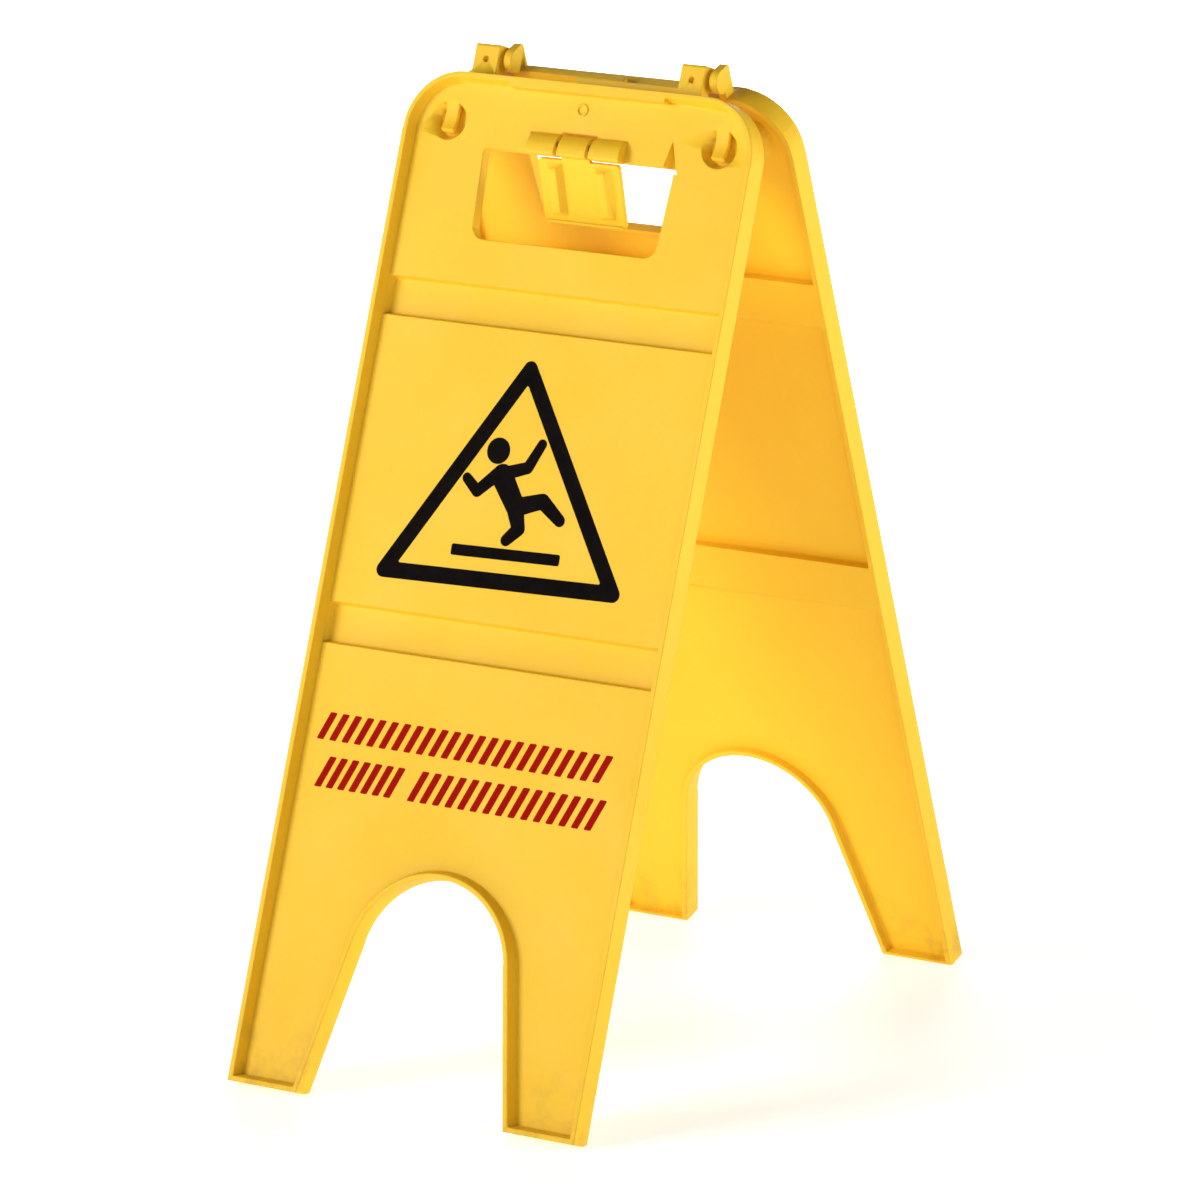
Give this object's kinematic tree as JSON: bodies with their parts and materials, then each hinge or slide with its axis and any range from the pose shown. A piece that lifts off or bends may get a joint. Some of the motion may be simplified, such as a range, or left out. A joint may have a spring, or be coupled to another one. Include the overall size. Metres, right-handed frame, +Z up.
{
  "type": "folding wet floor sign",
  "caption": "Folding A-frame floor warning sign: two hinged rimmed plastic panels with a carrying handle opening, an arch between the feet and a swinging flap.",
  "frame": {"origin": "on the floor, midway between the four feet, under the hinge line", "axes": "+X along the hinge line, front panel towards -Y, rear panel towards +Y, +Z up"},
  "size_m": [0.232, 0.4386, 0.5715],
  "materials": {
    "yellow_plastic": "satin moulded",
    "steel": "drawn"
  },
  "bodies": {
    "front": {"front_panel": "yellow_plastic", "hinge_pin_left": "steel", "hinge_pin_right": "steel", "latch_pin": "steel"},
    "rear": {"rear_panel": "yellow_plastic"},
    "latch": {"latch_flap": "yellow_plastic"}
  },
  "joints": [
    {"name": "panel_fold", "type": "hinge", "parent": "front", "child": "rear", "pos_m": [0, 0, 0.56241], "axis": [-1, 0, 0], "range_deg": [0, 40]},
    {"name": "latch_swing", "type": "hinge", "parent": "front", "child": "latch", "pos_m": [0, -0.02641, 0.52201], "axis": [1, 0, 0], "range_deg": [-110, 20]}
  ]
}
